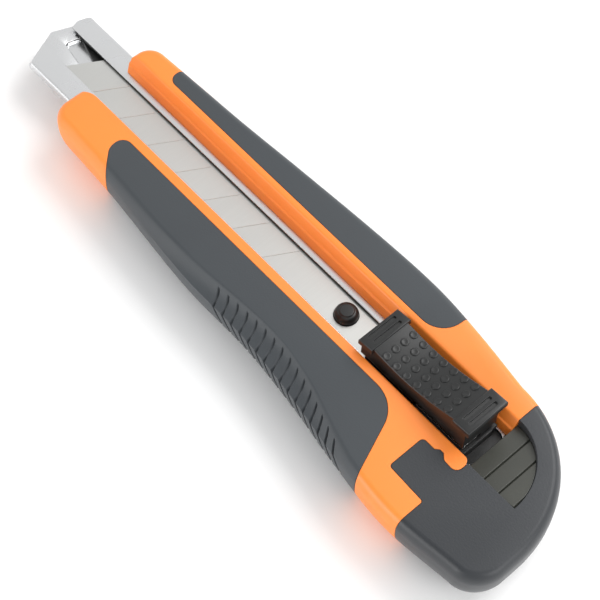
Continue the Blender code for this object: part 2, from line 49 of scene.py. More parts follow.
# ------------------------------------------------------------------ studio
# A camera that looks down on the left side, a pale floor, and the soft boxes of
# a small product studio. None of it belongs to the knife.
eye = bpy.data.cameras.new("camera")
eye.lens = 113.43
eye.sensor_width = 36.0
eye.clip_start = 0.01
camera = bpy.data.objects.new("camera", eye)
camera.location = (-0.153295, 0.153066, 0.370020)
camera.rotation_euler = [math.radians(a) for a in (29.934, -1.885, -132.083)]
bpy.context.scene.collection.objects.link(camera)
bpy.context.scene.camera = camera
bpy.context.scene.view_settings.view_transform = "Standard"


def linear(code):
    """An sRGB hex colour as linear RGBA."""
    parts = [int(code[i:i + 2], 16) / 255 for i in (1, 3, 5)]
    parts = [c / 12.92 if c <= 0.04045 else ((c + 0.055) / 1.055) ** 2.4 for c in parts]
    return (*parts, 1.0)


def add(tree, kind, settings=None, sockets=None):
    """Add a node, set its fields, then set or join its sockets by name or number."""
    made = tree.nodes.new(kind)
    for field, value in (settings or {}).items():
        setattr(made, field, value)
    for socket, value in (sockets or {}).items():
        if isinstance(value, bpy.types.NodeSocket):
            tree.links.new(value, made.inputs[socket])
        else:
            made.inputs[socket].default_value = value
    return made


def begin(name, colour, roughness, metallic=0.0, ior=None):
    """A new material, its node tree and its shader with the even values set."""
    made = bpy.data.materials.new(name)
    made.use_nodes = True
    shader = made.node_tree.nodes["Principled BSDF"]
    shader.inputs["Base Color"].default_value = linear(colour)
    shader.inputs["Roughness"].default_value = roughness
    shader.inputs["Metallic"].default_value = metallic
    if ior:
        shader.inputs["IOR"].default_value = ior
    made.diffuse_color = linear(colour)
    return made, made.node_tree, shader


def sheet(name, half, look):
    """A flat square of the studio."""
    bm = bmesh.new()
    bmesh.ops.create_grid(bm, x_segments=1, y_segments=1, size=half)
    mesh = bpy.data.meshes.new(name)
    bm.to_mesh(mesh)
    bm.free()
    mesh.materials.append(look)
    made = bpy.data.objects.new(name, mesh)
    bpy.context.scene.collection.objects.link(made)
    return made


def light(name, place, aim, size, power):
    """A square soft box at place (metres) that faces aim."""
    data = bpy.data.lights.new(name, "AREA")
    data.shape = "SQUARE"
    data.size = size
    data.energy = power
    made = bpy.data.objects.new(name, data)
    made.location = place
    made.rotation_euler = (Vector(aim) - Vector(place)).to_track_quat("-Z", "Y").to_euler()
    bpy.context.scene.collection.objects.link(made)
    return made


light("top_box", (-0.10, -0.58, 0.64), (0, 0, 0), 0.55, 4.2)
light("left_box", (0.15, 0.72, 0.20), (0, 0, 0), 0.40, 2.6)
light("rear_box", (-0.60, -0.10, 0.35), (0, 0, 0), 0.40, 1.6)

sky = bpy.data.worlds.new("studio")
sky.use_nodes = True
sky.node_tree.nodes["Background"].inputs["Color"].default_value = linear("#FFFFFF")
sky.node_tree.nodes["Background"].inputs["Strength"].default_value = 0.81
bpy.context.scene.world = sky

paper, paper_tree, paper_shader = begin("matt_white_paper", "#FAFAFA", 0.95)
fibre = add(paper_tree, "ShaderNodeTexNoise", sockets={"Scale": 2500.0, "Detail": 2.0})
paper_bump = add(paper_tree, "ShaderNodeBump", sockets={
    "Strength": 0.05, "Distance": 0.0001, "Height": fibre.outputs[0]})
paper_tree.links.new(paper_bump.outputs[0], paper_shader.inputs["Normal"])
floor = sheet("floor", 3.0, paper)

# A black card high on the left, out of view, that darkens the rounded shoulders.
felt = begin("black_felt", "#101010", 1.0)[0]
flag = sheet("flag", 0.19, felt)
flag.location = (0.14, 0.40, 0.43)
flag.rotation_euler = Vector(flag.location).to_track_quat("Z", "Y").to_euler()
flag.visible_camera = False

# ------------------------------------------------------------ handle moulding
# The stiff core of the handle: bright orange ABS, injection moulded in one
# piece from a spark-eroded tool. It has a deep slot for the rail and slider,
# and recesses that the soft grips are moulded into.
FRONT_X, JOINT_X, REAR_X = 66.0, -61.2, -83.2
LIP_TOP, TOP, PARTING = 9.5, 15.0, 10.5
UNDER_RAIL = 6.2
SHOULDER_IN, SHOULDER_DOWN = 2.2, 3.2
BELLY_IN = 9.0
FRONT_CORNER = 4.8
SLOT_HALF = 6.3
RAIL_HALF = 9.8
SEAM = 0.1                # joint between two mouldings
FOOT_IN = 0.6             # how far the slot's right wall leans in at its foot
LEDGE_DOWN = 2.7          # top face to the ledge in that wall
END_ROUND, END_Y = 1.9, 8.2
GRIP_THICK = 2.0
LEFT_WIDTHS = [(66.0, 16.9), (45.0, 18.1), (14.0, 21.2), (-7.0, 21.5), (-25.0, 23.4),
               (-40.0, 25.8), (-58.0, 27.7), (-76.0, 26.1)]
RIGHT_WIDTHS = [(66.0, 13.6), (49.0, 14.5), (35.0, 15.2), (16.0, 16.6), (-10.0, 18.2),
                (-27.0, 18.5), (-41.0, 17.2), (-56.0, 15.0)]
# The left side is dished for the fingers: its wall leans in by this much more.
FINGER_DISH = [(46.0, 0.0), (30.0, 0.4), (14.0, 1.4), (-2.0, 2.4), (-15.0, 3.1),
               (-25.0, 2.5), (-33.0, 1.4), (-44.0, 0.0)]
DISH_DEPTH = 1.4
REAR_FLAT = (13.5, 18.0)
REAR_LEFT_BEND_X, REAR_RIGHT_BEND_X = -76.0, -56.0
FAR = 100.0


def ease(table, x):
    """Width at x from a short table, eased between its entries."""
    rows = sorted(table)
    if x <= rows[0][0]:
        return rows[0][1]
    for i in range(len(rows) - 1):
        x0, w0 = rows[i]
        x1, w1 = rows[i + 1]
        if x > x1:
            continue
        xa, wa = rows[max(i - 1, 0)]
        xb, wb = rows[min(i + 2, len(rows) - 1)]
        slope0 = (w1 - wa) / (x1 - xa)
        slope1 = (wb - w0) / (xb - x0)
        t = (x - x0) / (x1 - x0)
        span = x1 - x0
        return ((2 * t**3 - 3 * t**2 + 1) * w0 + (t**3 - 2 * t**2 + t) * span * slope0
                + (3 * t**2 - 2 * t**3) * w1 + (t**3 - t**2) * span * slope1)
    return rows[-1][1]


def rounded(corners, steps=10):
    """A closed outline from (x, y, radius) corners."""
    points = []
    for i, (x, y, radius) in enumerate(corners):
        if radius == 0:
            points.append((x, y))
            continue
        here = Vector((x, y))
        back = (Vector(corners[i - 1][:2]) - here).normalized()
        ahead = (Vector(corners[(i + 1) % len(corners)][:2]) - here).normalized()
        half = back.angle(ahead) / 2
        reach = radius / math.tan(half)
        centre = here + (back + ahead).normalized() * radius / math.sin(half)
        start = here + back * reach - centre
        sweep = start.angle_signed(here + ahead * reach - centre)
        for k in range(steps + 1):
            turn = -sweep * k / steps
            c, s = math.cos(turn), math.sin(turn)
            points.append((centre.x + c * start.x - s * start.y,
                           centre.y + s * start.x + c * start.y))
    return points


def grow(outline, distance):
    """Move an anticlockwise outline outward; a negative distance moves it inward.

    The distance is one number, or one for each point.
    """
    grown = []
    count = len(outline)
    reaches = distance if isinstance(distance, list) else [distance] * count
    for i, (x, y) in enumerate(outline):
        here = Vector((x, y))
        a = (here - Vector(outline[i - 1])).normalized()
        b = (Vector(outline[(i + 1) % count]) - here).normalized()
        scale = reaches[i] / max(0.35, (1 + a.dot(b)) / 2)
        grown.append((x + (a.y + b.y) / 2 * scale, y - (a.x + b.x) / 2 * scale))
    return grown


def solid(rings, name="solid"):
    """Close a stack of rings, given in millimetres, into one body in metres."""
    bm = bmesh.new()
    rows = [[bm.verts.new(point) for point in ring] for ring in rings]
    count = len(rows[0])
    for low, high in zip(rows, rows[1:]):
        for i in range(count):
            j = (i + 1) % count
            bm.faces.new((low[i], low[j], high[j], high[i]))
    bm.faces.new(rows[0][::-1])
    bm.faces.new(rows[-1])
    bmesh.ops.recalc_face_normals(bm, faces=bm.faces)
    bmesh.ops.scale(bm, vec=(MM, MM, MM), verts=bm.verts)
    mesh = bpy.data.meshes.new(name)
    bm.to_mesh(mesh)
    bm.free()
    obj = bpy.data.objects.new(name, mesh)
    bpy.context.scene.collection.objects.link(obj)
    return obj


def upright(outline, z0, z1):
    return solid([[(x, y, z) for x, y in outline] for z in (z0, z1)])


def along_x(section, x0, x1):
    return solid([[(x, y, z) for y, z in section] for x in (x0, x1)])


def along_y(section, y0, y1):
    return solid([[(x, y, z) for x, z in section] for y in (y0, y1)])


def block(x0, x1, y0, y1, z0, z1):
    return upright([(x0, y0), (x1, y0), (x1, y1), (x0, y1)], z0, z1)


def shape(obj, tool, operation):
    """Cut, join or keep with a tool body, which is used up."""
    modifier = obj.modifiers.new("shape", "BOOLEAN")
    modifier.operation = operation
    modifier.solver = "EXACT"
    modifier.object = tool
    bpy.context.view_layer.update()
    graph = bpy.context.evaluated_depsgraph_get()
    mesh = bpy.data.meshes.new_from_object(obj.evaluated_get(graph))
    obj.modifiers.clear()
    obj.data = mesh
    bpy.data.objects.remove(tool)
    return obj


def cut(obj, *tools):
    for tool in tools:
        shape(obj, tool, "DIFFERENCE")
    return obj


def twin(obj):
    """A second object with its own copy of the mesh."""
    made = obj.copy()
    made.data = obj.data.copy()
    bpy.context.scene.collection.objects.link(made)
    return made


def noise(tree, vector, scale, detail):
    return add(tree, "ShaderNodeTexNoise", sockets={
        "Vector": vector, "Scale": scale, "Detail": detail})


def tinted(tree, shader, factor, low, high):
    """Base colour that wanders between two near tones."""
    tint = add(tree, "ShaderNodeMix", {"data_type": "RGBA"}, {
        "Factor": factor.outputs[0], "A": linear(low), "B": linear(high)})
    tree.links.new(tint.outputs["Result"], shader.inputs["Base Color"])
    return tint


def roughened(tree, shader, value, low, high):
    """Roughness that wanders between two near values."""
    span = add(tree, "ShaderNodeMapRange", sockets={
        "Value": value.outputs[0], "To Min": low, "To Max": high})
    tree.links.new(span.outputs[0], shader.inputs["Roughness"])


def relief(tree, shader, height, strength, distance, radius, samples=6):
    """Fine relief over edges softened to a radius, both in metres."""
    edge = add(tree, "ShaderNodeBevel", {"samples": samples}, {"Radius": radius})
    bump = add(tree, "ShaderNodeBump", sockets={
        "Strength": strength, "Distance": distance, "Height": height.outputs[0],
        "Normal": edge.outputs[0]})
    tree.links.new(bump.outputs[0], shader.inputs["Normal"])


def dress(obj, name, look, body, slot, *nodes, crease=32):
    """Name a finished piece, give it its look, and fix it to its body in the frame."""
    obj.name = name
    obj.data.name = name
    bm = bmesh.new()
    bm.from_mesh(obj.data)
    bmesh.ops.remove_doubles(bm, verts=bm.verts, dist=0.000004)
    bmesh.ops.dissolve_degenerate(bm, dist=0.000004, edges=bm.edges)
    bm.to_mesh(obj.data)
    bm.free()
    obj.data.materials.clear()
    obj.data.materials.append(look)
    obj.data.shade_smooth()
    obj.data.set_sharp_from_angle(angle=math.radians(crease))
    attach(obj, body)
    if nodes:
        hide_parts(*nodes)
    return obj


def body_outline():
    """The widest outline of handle and cap together, anticlockwise from above."""
    r = FRONT_CORNER
    start = FRONT_X - r
    right_front = -ease(RIGHT_WIDTHS, start)
    left_front = ease(LEFT_WIDTHS, start)
    points = []
    for k in range(25):
        a = math.radians(-90 + 3.75 * k)
        points.append((start + r * math.cos(a), right_front + r + r * math.sin(a)))
    for k in range(25):
        a = math.radians(3.75 * k)
        points.append((start + r * math.cos(a), left_front - r + r * math.sin(a)))
    count = 110
    for k in range(1, count):
        x = start + (REAR_LEFT_BEND_X - start) * k / count
        points.append((x, ease(LEFT_WIDTHS, x)))
    left_bend = ease(LEFT_WIDTHS, REAR_LEFT_BEND_X)
    for k in range(25):
        a = math.radians(90 * k / 24)
        points.append((REAR_LEFT_BEND_X + (REAR_X - REAR_LEFT_BEND_X) * math.sin(a),
                       REAR_FLAT[1] + (left_bend - REAR_FLAT[1]) * math.cos(a)))
    right_bend = ease(RIGHT_WIDTHS, REAR_RIGHT_BEND_X)
    for k in range(49):
        a = math.radians(90 - 90 * k / 48)
        points.append((REAR_RIGHT_BEND_X + (REAR_X - REAR_RIGHT_BEND_X) * math.sin(a),
                       REAR_FLAT[0] - (right_bend + REAR_FLAT[0]) * math.cos(a)))
    for k in range(1, count):
        x = REAR_RIGHT_BEND_X + (start - REAR_RIGHT_BEND_X) * k / count
        points.append((x, -ease(RIGHT_WIDTHS, x)))
    return points


def whole_body(skin=0.0):
    """Handle and cap as one solid, all round smaller by skin."""
    outline = grow(body_outline(), -skin)
    middle_x = (FRONT_X + REAR_X) / 2
    half_x = (FRONT_X - REAR_X) / 2
    widest = max(w for _, w in LEFT_WIDTHS)
    parting = PARTING - skin
    rings = []
    for k in range(15):
        a = math.radians(90 - 90 * k / 14)
        pull = BELLY_IN * (1 - math.cos(a))
        z = parting - (parting - skin) * math.sin(a)
        ring = []
        for x, y in outline:
            middle_y = (ease(LEFT_WIDTHS, x) - ease(RIGHT_WIDTHS, x)) / 2
            ring.append((middle_x + (x - middle_x) * (1 - pull / half_x),
                         middle_y + (y - middle_y) * (1 - pull / widest), z))
        rings.append(ring)
    dishes = [ease(FINGER_DISH, x) if y > 0 and -44.0 < x < 46.0 else 0.0 for x, y in outline]
    for k in range(15):
        a = math.radians(90 * k / 14)
        climb = SHOULDER_DOWN * math.sin(a)
        lean = 1 - (1 - climb / SHOULDER_DOWN) ** 2.6
        insets = []
        for dish in dishes:
            soft = SHOULDER_IN - 0.4 * dish
            insets.append(-soft * (1 - math.cos(a)) - DISH_DEPTH * dish * lean)
        inner = grow(outline, insets) if k else outline
        z = TOP - skin - SHOULDER_DOWN + climb
        rings.append([(x, y, z) for x, y in inner])
    return solid(rings)


def grip_outline(side):
    if side == "left":
        corners = [(49.0, 8.8, 2.4), (48.6, 13.2, 3.5), (29.0, 34.0, 0),
                   (-51.0, 34.0, 0), (-41.0, 8.8, 8.5)]
    else:
        corners = [(54.6, -9.4, 2.2), (-36.2, -9.4, 6.0), (-36.6, -34.0, 0), (53.9, -34.0, 0)]
    return rounded(corners)


def cap_outline():
    """Plan of the end cap with its tongue, which has a small waist on its inner side."""
    front = JOINT_X + 10.4
    corners = [(-FAR, -FAR, 0), (JOINT_X, -FAR, 0), (JOINT_X, 10.7, 1.7), (-57.3, 10.5, 0.9),
               (-56.1, 9.4, 0.4), (-55.1, 9.4, 0.4), (-54.2, 10.2, 0.5),
               (front, 10.2, 0.9), (front, 19.8, 0.8), (JOINT_X, 20.2, 0.6),
               (JOINT_X, FAR, 0), (-FAR, FAR, 0)]
    return rounded(corners, steps=6)


def slot_ring(z, left, right):
    """Plan of the slot at one height; its left wall flares round the front corner."""
    flare = 4.5
    ring = [(JOINT_X - 5, -right), (FRONT_X - 0.8, -right)]
    for k in range(1, 7):
        a = math.radians(90 * k / 6)
        ring.append((FRONT_X - 0.8 + 0.8 * math.sin(a), -right - 0.8 * (1 - math.cos(a))))
    ring += [(FRONT_X + 5, -right - 0.8), (FRONT_X + 5, left + flare)]
    for k in range(17):
        a = math.radians(90 - 90 * k / 16)
        ring.append((FRONT_X - flare + flare * math.sin(a), left + flare * (1 - math.cos(a))))
    ring.append((JOINT_X - 5, left))
    return [(x, y, z) for x, y in ring]


# ABS from a spark-eroded tool: an even, slightly waxy orange with a fine matt grain.
orange_abs, tree, shader = begin("orange_abs_spark_eroded", "#FB8A33", 0.42, ior=1.54)
shader.inputs["Subsurface Weight"].default_value = 0.06
shader.inputs["Subsurface Radius"].default_value = (0.0010, 0.0004, 0.0001)
place = add(tree, "ShaderNodeTexCoord")
grain = noise(tree, place.outputs["Object"], 3500.0, 2.0)
flow = noise(tree, place.outputs["Object"], 45.0, 3.0)
tinted(tree, shader, flow, "#F98631", "#FD8E36")
roughened(tree, shader, flow, 0.38, 0.47)
relief(tree, shader, grain, 0.12, 0.00004, 0.0003)

shell = whole_body()
core = whole_body(GRIP_THICK + 0.05)
for side in ("left", "right"):
    recess = upright(grow(grip_outline(side), SEAM), -5.0, TOP + 5.0)
    cut(recess, twin(core))
    cut(shell, recess)
bpy.data.objects.remove(core)
cut(shell, upright(grow(cap_outline(), SEAM), -5.0, TOP + 5.0))
pocket = RAIL_HALF + SEAM
cut(shell, block(JOINT_X - 5, FAR, -pocket, pocket, UNDER_RAIL - SEAM, LIP_TOP + SEAM))
ledge = TOP - LEDGE_DOWN
slot = solid([
    slot_ring(LIP_TOP, SLOT_HALF, SLOT_HALF - FOOT_IN),
    slot_ring(ledge - 0.2, SLOT_HALF, SLOT_HALF),
    slot_ring(ledge, SLOT_HALF, SLOT_HALF + 0.45),
    slot_ring(TOP - 0.45, SLOT_HALF, SLOT_HALF + 1.35),
    slot_ring(TOP - 0.25, SLOT_HALF + 0.08, SLOT_HALF + 1.5),
    slot_ring(TOP - 0.08, SLOT_HALF + 0.25, SLOT_HALF + 1.75),
    slot_ring(TOP + 0.02, SLOT_HALF + 0.5, SLOT_HALF + 2.1),
    slot_ring(TOP + 1.0, SLOT_HALF + 0.5, SLOT_HALF + 2.1)])
cut(shell, slot)
end_round = [(JOINT_X - 1.0, END_Y), (JOINT_X + SEAM, END_Y)]
for k in range(13):
    a = math.radians(90 * k / 12)
    end_round.append((JOINT_X + SEAM + END_ROUND * (1 - math.cos(a)),
                      END_Y - END_ROUND * math.sin(a)))
end_round += [(JOINT_X + SEAM + END_ROUND, 5.5), (JOINT_X - 1.0, 5.5)]
cut(shell, upright(end_round[::-1], LIP_TOP + 0.05, TOP + 1.0))
cut(shell, block(JOINT_X - 5, FRONT_X - 12.0, 0.0, 8.6, 9.7, 12.3))
cut(shell, block(JOINT_X - 5, JOINT_X + 12.1, -0.1, 17.1, 2.0, 5.6))
dress(shell, "handle_moulding", orange_abs, "handle", "orange_abs", "handle_shell")

# --------------------------------------------------------------- soft grips
# Two skins of dark grey thermoplastic rubber, moulded over the handle in a
# second shot, so they end flush with it. The left one has a run of finger
# grooves along its waist, which turn at the mould's parting line.
RIB_COUNT, RIB_PITCH, RIB_FRONT_X = 16, 2.9, 5.2
RIB_BOTTOM, RIB_TOP, RIB_DEPTH, RIB_FADE = 3.0, 14.6, 0.85, 1.2
PARTING_LINE = 7.6        # height of the grip tool's joint, where the grooves turn

# TPR: soft, light-scattering and slightly dusty, with a fine moulded grain.
grey_tpr, tree, shader = begin("grey_tpr_grained", "#3D4246", 0.62, ior=1.48)
shader.inputs["Sheen Weight"].default_value = 0.12
shader.inputs["Sheen Roughness"].default_value = 0.5
place = add(tree, "ShaderNodeTexCoord")
grain = noise(tree, place.outputs["Object"], 2200.0, 3.0)
bloom = noise(tree, place.outputs["Object"], 70.0, 4.0)
tint = tinted(tree, shader, bloom, "#363A3E", "#3B4044")
height = add(tree, "ShaderNodeSeparateXYZ", sockets={0: place.outputs["Object"]})
off_line = add(tree, "ShaderNodeMath", {"operation": "SUBTRACT"}, {
    0: height.outputs["Z"], 1: PARTING_LINE * MM})
off_line = add(tree, "ShaderNodeMath", {"operation": "ABSOLUTE"}, {0: off_line.outputs[0]})
parting = add(tree, "ShaderNodeMapRange", {"interpolation_type": "SMOOTHSTEP"}, {
    "Value": off_line.outputs[0], "From Min": 0.00004, "From Max": 0.00016,
    "To Min": 1.0, "To Max": 0.0})
tint = add(tree, "ShaderNodeMix", {"data_type": "RGBA"}, {
    "Factor": parting.outputs[0], "A": tint.outputs["Result"], "B": linear("#2B2E31")})
tree.links.new(tint.outputs["Result"], shader.inputs["Base Color"])
roughened(tree, shader, bloom, 0.5, 0.62)
relief(tree, shader, grain, 0.3, 0.00008, 0.00025)


def notch():
    """One finger groove as a cutter: its y is the height over the wall it is laid on."""
    rings = []
    for k in range(19):
        z = RIB_BOTTOM + (RIB_TOP - RIB_BOTTOM) * k / 18
        fade = min(1.0, max(0.0, (RIB_TOP - 0.05 - z) / RIB_FADE))
        depth = RIB_DEPTH * fade - 0.25 * (1 - fade)
        x = -0.62 * (RIB_TOP - 0.1 - max(z, PARTING_LINE)) + 0.25 * max(0.0, PARTING_LINE - z)
        rings.append([(x + 0.12, -depth, z), (x + 0.32, 0.1, z), (x + 0.4, 1.5, z),
                      (x - 0.72, 1.5, z), (x - 0.55, 0.05, z), (x - 0.1, -depth, z)])
    return solid(rings, "notch")


def instance_tree(name):
    """An empty node tree with the sizes that every run of repeats here takes."""
    made = bpy.data.node_groups.new(name, "GeometryNodeTree")
    face = made.interface
    face.new_socket("Geometry", in_out="INPUT", socket_type="NodeSocketGeometry")
    face.new_socket("Piece", in_out="INPUT", socket_type="NodeSocketObject")
    face.new_socket("Surface", in_out="INPUT", socket_type="NodeSocketObject")
    face.new_socket("Look", in_out="INPUT", socket_type="NodeSocketMaterial")
    face.new_socket("Geometry", in_out="OUTPUT", socket_type="NodeSocketGeometry")
    return made, add(made, "NodeGroupInput"), add(made, "NodeGroupOutput")


def add_inputs(tree, inputs):
    for socket, kind in inputs.items():
        tree.interface.new_socket(socket, in_out="INPUT", socket_type="NodeSocket" + kind)


def row_tree(name):
    """A tree with Count copies of Piece in a row toward the rear, Pitch apart."""
    made, given, result = instance_tree(name)
    add_inputs(made, {"Count": "Int", "Pitch": "Float", "Front": "Float"})
    first = add(made, "ShaderNodeCombineXYZ", sockets={"X": given.outputs["Front"]})
    step_back = add(made, "ShaderNodeMath", {"operation": "MULTIPLY"}, {
        0: given.outputs["Pitch"], 1: -1.0})
    step = add(made, "ShaderNodeCombineXYZ", sockets={"X": step_back.outputs[0]})
    row = add(made, "GeometryNodeMeshLine", {"mode": "OFFSET"}, {
        "Count": given.outputs["Count"], "Start Location": first.outputs[0],
        "Offset": step.outputs[0]})
    piece = add(made, "GeometryNodeObjectInfo", sockets={"Object": given.outputs["Piece"]})
    placed = add(made, "GeometryNodeInstanceOnPoints", sockets={
        "Points": row.outputs[0], "Instance": piece.outputs["Geometry"]})
    real = add(made, "GeometryNodeRealizeInstances", sockets={0: placed.outputs[0]})
    return made, given, result, real


def end_tree(tree, given, result, geometry):
    """Give the repeats their material and hand them to the tree's output."""
    looked = add(tree, "GeometryNodeSetMaterial", sockets={
        "Geometry": geometry.outputs[0], "Material": given.outputs["Look"]})
    tree.links.new(looked.outputs[0], result.inputs[0])


def run_tree(tree, name, values):
    """Run a tree on an empty mesh and hand back its result as a plain object."""
    obj = bpy.data.objects.new(name, bpy.data.meshes.new(name))
    bpy.context.scene.collection.objects.link(obj)
    modifier = obj.modifiers.new("repeats", "NODES")
    modifier.node_group = tree
    for item in tree.interface.items_tree:
        if item.in_out == "INPUT" and item.name in values:
            modifier[item.identifier] = values[item.name]
    bpy.context.view_layer.update()
    graph = bpy.context.evaluated_depsgraph_get()
    mesh = bpy.data.meshes.new_from_object(obj.evaluated_get(graph))
    obj.modifiers.clear()
    obj.data = mesh
    return obj


rib_tree, given, result, real = row_tree("finger_grooves")
here = add(rib_tree, "GeometryNodeInputPosition")
apart = add(rib_tree, "ShaderNodeSeparateXYZ", sockets={0: here.outputs[0]})
outside = add(rib_tree, "ShaderNodeCombineXYZ", sockets={
    "X": apart.outputs["X"], "Y": 0.06, "Z": apart.outputs["Z"]})
side_wall = add(rib_tree, "GeometryNodeObjectInfo", sockets={"Object": given.outputs["Surface"]})
cast = add(rib_tree, "GeometryNodeRaycast", sockets={
    "Target Geometry": side_wall.outputs["Geometry"], "Source Position": outside.outputs[0],
    "Ray Direction": (0.0, -1.0, 0.0), "Ray Length": 0.1})
wall_at = add(rib_tree, "ShaderNodeSeparateXYZ", sockets={0: cast.outputs["Hit Position"]})
shift = add(rib_tree, "ShaderNodeCombineXYZ", sockets={"Y": wall_at.outputs["Y"]})
real = add(rib_tree, "GeometryNodeSetPosition", sockets={
    "Geometry": real.outputs[0], "Offset": shift.outputs[0]})
end_tree(rib_tree, given, result, real)

for side in ("left", "right"):
    skin = shape(whole_body(), upright(grip_outline(side), -5.0, TOP + 5.0), "INTERSECT")
    if side == "left":
        groove = notch()
        ribs = run_tree(rib_tree, "ribs", {
            "Piece": groove, "Surface": skin, "Look": grey_tpr, "Count": RIB_COUNT,
            "Pitch": RIB_PITCH * MM, "Front": RIB_FRONT_X * MM})
        bpy.data.objects.remove(groove)
        cut(skin, ribs)
    cut(skin, whole_body(GRIP_THICK))
    dress(skin, "soft_grip_" + side, grey_tpr, "handle", "grey_tpr", "grip_" + side)

# -------------------------------------------------------------------- rail
# A channel folded from 0.5 mm bright rolled steel, with two lips over the blade,
# a pointed nose and a pressed step in its floor that steadies the blade's tip.
# It is pushed into the handle from the front.
SHEET = 0.5
RAIL_REAR_X, NOSE_X = -60.3, 87.5
FLOOR_TOP = UNDER_RAIL + SHEET
LIP_LEFT, LIP_RIGHT, REAR_LIP = 4.0, 4.2, 5.35
PAD_TOP = 8.05            # top of the pressed step

# Rolled steel: bright, with very fine lines along the strip and soft smears.
rail_steel, tree, shader = begin("rail_steel_rolled", "#E2E3E4", 0.25, 1.0)
place = add(tree, "ShaderNodeTexCoord")
drawn = add(tree, "ShaderNodeMapping", sockets={
    "Vector": place.outputs["Object"], "Scale": (60.0, 4000.0, 4000.0)})
lines = noise(tree, drawn.outputs[0], 1.0, 2.0)
smear = noise(tree, place.outputs["Object"], 120.0, 3.0)
roughened(tree, shader, smear, 0.2, 0.34)
relief(tree, shader, lines, 0.12, 0.00002, 0.00012)

half, inside = RAIL_HALF, RAIL_HALF - SHEET
section = rounded([
    (-half, UNDER_RAIL, 0.8), (half, UNDER_RAIL, 0.8), (half, LIP_TOP, 0.75),
    (LIP_LEFT, LIP_TOP, 0.12), (LIP_LEFT, LIP_TOP - SHEET, 0.12),
    (inside, LIP_TOP - SHEET, 0.3), (inside, FLOOR_TOP, 0.35),
    (-inside, FLOOR_TOP, 0.35), (-inside, LIP_TOP - SHEET, 0.3),
    (-LIP_RIGHT, LIP_TOP - SHEET, 0.12), (-LIP_RIGHT, LIP_TOP, 0.12),
    (-half, LIP_TOP, 0.75)], steps=5)
channel = along_x(section, RAIL_REAR_X, NOSE_X + 5)
pocket_edge = rounded([
    (71.5, 1.4, 0.5), (82.7, -0.6, 0.8), (81.8, -4.4, 0.6), (81.6, -9.0, 0), (90.0, -9.0, 0),
    (90.0, 9.2, 0), (71.5, 9.2, 0)], steps=6)
press = solid([[(x, y, z) for x, y in grow(pocket_edge, -inset)] for inset, z in (
    (-0.2, FLOOR_TOP - 0.2), (-0.2, FLOOR_TOP + 0.02), (-0.1, PAD_TOP - 0.6),
    (-0.02, PAD_TOP - 0.3), (0.1, PAD_TOP - 0.1), (0.3, PAD_TOP))])
shape(channel, press, "UNION")
floor_plan = rounded([
    (RAIL_REAR_X - 5, -half - 1, 0), (84.0, -half - 1, 0), (84.0, -half, 0.9),
    (85.5, -5.2, 0.5), (NOSE_X, -0.1, 1.0), (83.9, 8.2, 0), (83.3, half, 0.8),
    (83.2, half + 1, 0), (RAIL_REAR_X - 5, half + 1, 0)])
shape(channel, upright(floor_plan, 0.0, TOP), "INTERSECT")
lip_ends = [(100, 11), (82.4, 11), (82.6, 9.8), (85.2, 3.8), (86.5, 0.0), (84.5, -4.2),
            (85.05, -6.3), (84.9, -7.8), (83.7, -9.8), (83.5, -11), (100, -11)]
cut(channel, upright(lip_ends, PAD_TOP + 0.3, TOP))
# Behind the slider the lips are cut back, so a thin rim of each shows in the slot.
lip_gap = rounded([(-60.9, -REAR_LIP, 2.0), (-54.0, -REAR_LIP, 0), (-54.0, REAR_LIP, 0),
                   (-60.9, REAR_LIP, 2.0)], steps=8)
cut(channel, upright(lip_gap, FLOOR_TOP + 0.6, TOP))
dress(channel, "rail_channel", rail_steel, "handle", "rail_steel", "rail")

# A thin strip of black ABS along the edge of the right lip, and a black wedge in the corner of
# the nose: both are painted shade, dark pieces set where the gap under the right lip and the
# floor beside it lie only in shadow.
black_abs, tree, shader = begin("black_abs_satin", "#151616", 0.36, ior=1.54)
place = add(tree, "ShaderNodeTexCoord")
grain = noise(tree, place.outputs["Object"], 2600.0, 2.0)
rub = noise(tree, place.outputs["Object"], 160.0, 4.0)
tinted(tree, shader, rub, "#131414", "#1B1C1C")
roughened(tree, shader, rub, 0.3, 0.46)
relief(tree, shader, grain, 0.15, 0.00005, 0.0002)

# Painted shade: a black strip that fills the shadowed gap under the right lip's edge.
lip_shade_strip = block(-24.0, 83.2, -LIP_RIGHT - 0.5, -LIP_RIGHT + 0.1, 8.8, 9.32)
# Painted shade: a black wedge where the nose's floor lies in the shadow of the right lip.
nose_shade_wedge = upright([(81.4, -4.6), (74.6, -2.6), (71.0, -2.6), (71.0, -9.1),
                (81.2, -9.1)][::-1], FLOOR_TOP + 0.02, 7.6)
dress(lip_shade_strip, "rail_liner", black_abs, "handle", "black_abs")
dress(nose_shade_wedge, "rail_liner_foot", black_abs, "handle", "black_abs")

# ------------------------------------------------------------------- blade
# One strip of hardened carbon steel, ground across its flats and sharpened along
# its left edge. Pressed score lines let each worn length be snapped off, and a
# hole near the tail drops over the carrier's pin.
BLADE_TOP, BLADE_THICK, BLADE_HALF = 8.7, 0.5, 9.0
BLADE_TIP_X, BLADE_LENGTH = 80.0, 106.5
BLADE_REAR_X = BLADE_TIP_X - BLADE_LENGTH
BLADE_LEAN = 2 * BLADE_HALF / math.tan(math.radians(60.0))
PIN_X, PIN_Y = BLADE_REAR_X + 10.25, -0.45
SCORE_PITCH, SCORE_COUNT = 10.0, 7
SCORE_HALF, SCORE_DEEP = 0.16, 0.16
HOLE_RADIUS = 2.95
EDGE_BAND, EDGE_THICK = 2.5, 0.1

